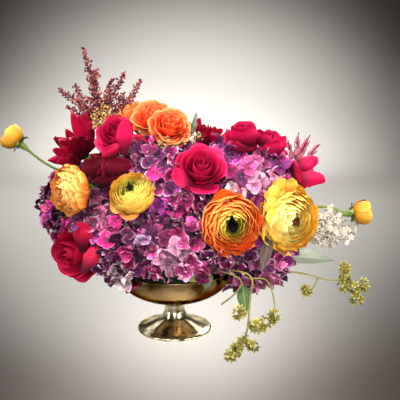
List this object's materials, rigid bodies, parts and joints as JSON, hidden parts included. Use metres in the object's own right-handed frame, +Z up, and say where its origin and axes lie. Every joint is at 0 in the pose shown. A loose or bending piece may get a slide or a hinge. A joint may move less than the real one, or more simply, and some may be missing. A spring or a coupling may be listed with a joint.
{
  "type": "floral table centerpiece",
  "caption": "Footed metal compote bowl filled with a dense round arrangement of roses, ranunculus, hydrangea, fillers and trailing vines, for the middle of a table.",
  "frame": {"origin": "middle of the foot's flat underside, on the table", "axes": "+Z up out of the bowl, +X to the viewer's right along the long way of the flowers, -Y towards the viewer"},
  "size_m": [0.4493, 0.2513, 0.344],
  "materials": {
    "brass": "antique gold, worn and polished",
    "foam": "wet green phenolic foam",
    "stem": null,
    "rose_magenta": "velvety magenta petals",
    "rose_burgundy": "velvety burgundy petals",
    "rose_crimson": "velvety crimson petals",
    "lily_crimson": "satin crimson tepals",
    "ranunculus_apricot": "satin apricot petals",
    "ranunculus_yellow": "satin yellow petals",
    "ranunculus_orange": "satin orange petals with redder inner ones",
    "ranunculus_gold": "satin golden yellow petals, ruffled",
    "bud_amber": "satin amber petals",
    "spray_rose_apricot": "satin apricot petals",
    "spray_rose_orange": "satin orange petals with paler edges",
    "hydrangea_mauve": "dry mauve sepals, from pale pink to deep purple",
    "astilbe": "dry brown-rose bracts",
    "filler_tan": "dry ochre seed heads",
    "filler_rosewood": "dusty rose young leaves",
    "filler_pale": "dry beige-grey seed spray",
    "vine": "olive vine with yellow-green star buds",
    "leaf_dark": "satin dark green leaves",
    "leaf_pale": "satin grey-green leaf"
  },
  "bodies": {
    "root": {"astilbe_plume": "astilbe", "bowl": "brass", "bud_left": "bud_amber", "bud_left_stem": "stem", "bud_right": "bud_amber", "bud_right_stem": "stem", "foam": "foam", "hydrangea_back_left": "hydrangea_mauve", "hydrangea_back_right": "hydrangea_mauve", "hydrangea_centre": "hydrangea_mauve", "hydrangea_left": "hydrangea_mauve", "hydrangea_lower_right": "hydrangea_mauve", "hydrangea_middle": "hydrangea_mauve", "hydrangea_top": "hydrangea_mauve", "hydrangea_upper_right": "hydrangea_mauve", "leaf_right": "leaf_pale", "leaves_back": "leaf_dark", "leaves_front": "leaf_dark", "lily_left": "lily_crimson", "lily_left_stem": "stem", "lily_top": "lily_crimson", "lily_top_stem": "stem", "pale_spray": "filler_pale", "pedestal": "brass", "ranunculus_apricot": "ranunculus_apricot", "ranunculus_apricot_stem": "stem", "ranunculus_back": "ranunculus_orange", "ranunculus_back_stem": "stem", "ranunculus_gold": "ranunculus_gold", "ranunculus_gold_stem": "stem", "ranunculus_orange": "ranunculus_orange", "ranunculus_orange_stem": "stem", "ranunculus_yellow": "ranunculus_yellow", "ranunculus_yellow_stem": "stem", "rose_back_left": "rose_crimson", "rose_back_left_stem": "stem", "rose_back_right": "rose_magenta", "rose_back_right_stem": "stem", "rose_dark": "rose_burgundy", "rose_dark_stem": "stem", "rose_front": "rose_magenta", "rose_front_stem": "stem", "rose_lower_left": "rose_crimson", "rose_lower_left_stem": "stem", "rose_right": "rose_magenta", "rose_right_stem": "stem", "rose_top": "rose_magenta", "rose_top_right": "rose_magenta", "rose_top_right_stem": "stem", "rose_top_stem": "stem", "rose_upper_left": "rose_magenta", "rose_upper_left_stem": "stem", "rosewood_tips": "filler_rosewood", "spray_rose_left": "spray_rose_apricot", "spray_rose_middle": "spray_rose_orange", "spray_rose_right": "spray_rose_orange", "spray_rose_stem": "stem", "tan_cluster": "filler_tan", "vine_front": "vine", "vine_right": "vine"}
  },
  "joints": []
}
